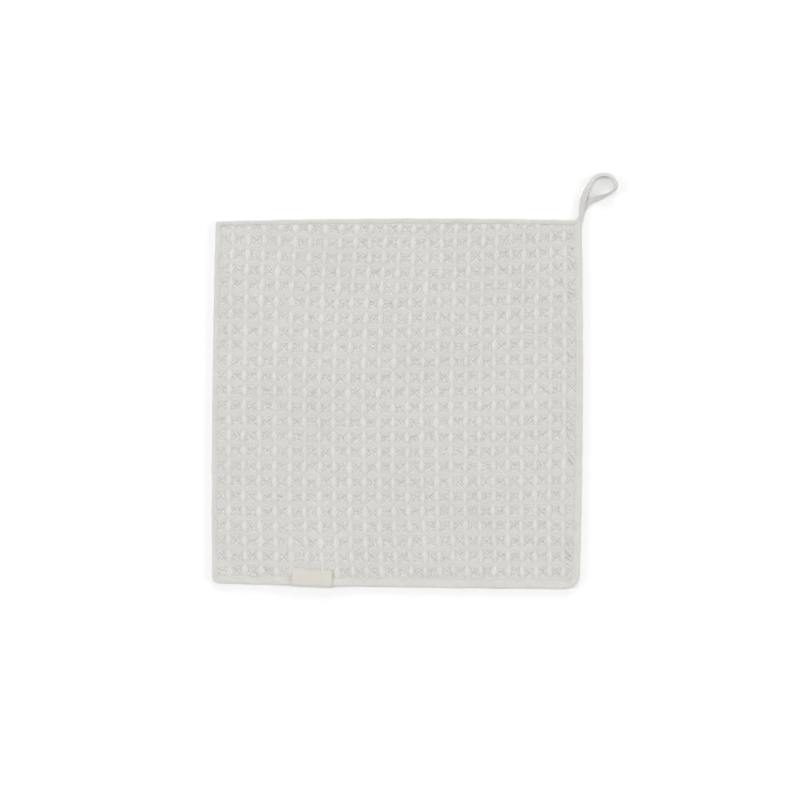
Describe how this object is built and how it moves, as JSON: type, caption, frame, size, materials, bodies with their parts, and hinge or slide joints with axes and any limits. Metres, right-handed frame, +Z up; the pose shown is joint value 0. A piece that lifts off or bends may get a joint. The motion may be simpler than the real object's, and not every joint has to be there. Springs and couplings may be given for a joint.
{
  "type": "bar towel",
  "caption": "Square off-white cotton waffle-weave bar towel, lying flat, with a bound edge, a tape hanging loop at one corner and a bare folded label",
  "frame": {"origin": "middle of the towel's whole outline, loop included, on the surface that it lies on", "axes": "x along the top edge to the right, y towards the top edge that carries the loop's corner, z up from the surface"},
  "size_m": [0.3293, 0.3371, 0.0045],
  "materials": {
    "waffle_cloth": "matt off-white cotton in a deep waffle weave",
    "binding_tape": "matt off-white plain cotton tape, stitched down",
    "loop_tape": "matt off-white narrow cotton tape",
    "label_weave": "smooth cream woven label with a slight sheen, bare"
  },
  "bodies": {
    "root": {"waffle_panel": "waffle_cloth", "edge_binding": "binding_tape", "hanging_loop": "loop_tape", "folded_label": "label_weave"}
  },
  "joints": []
}
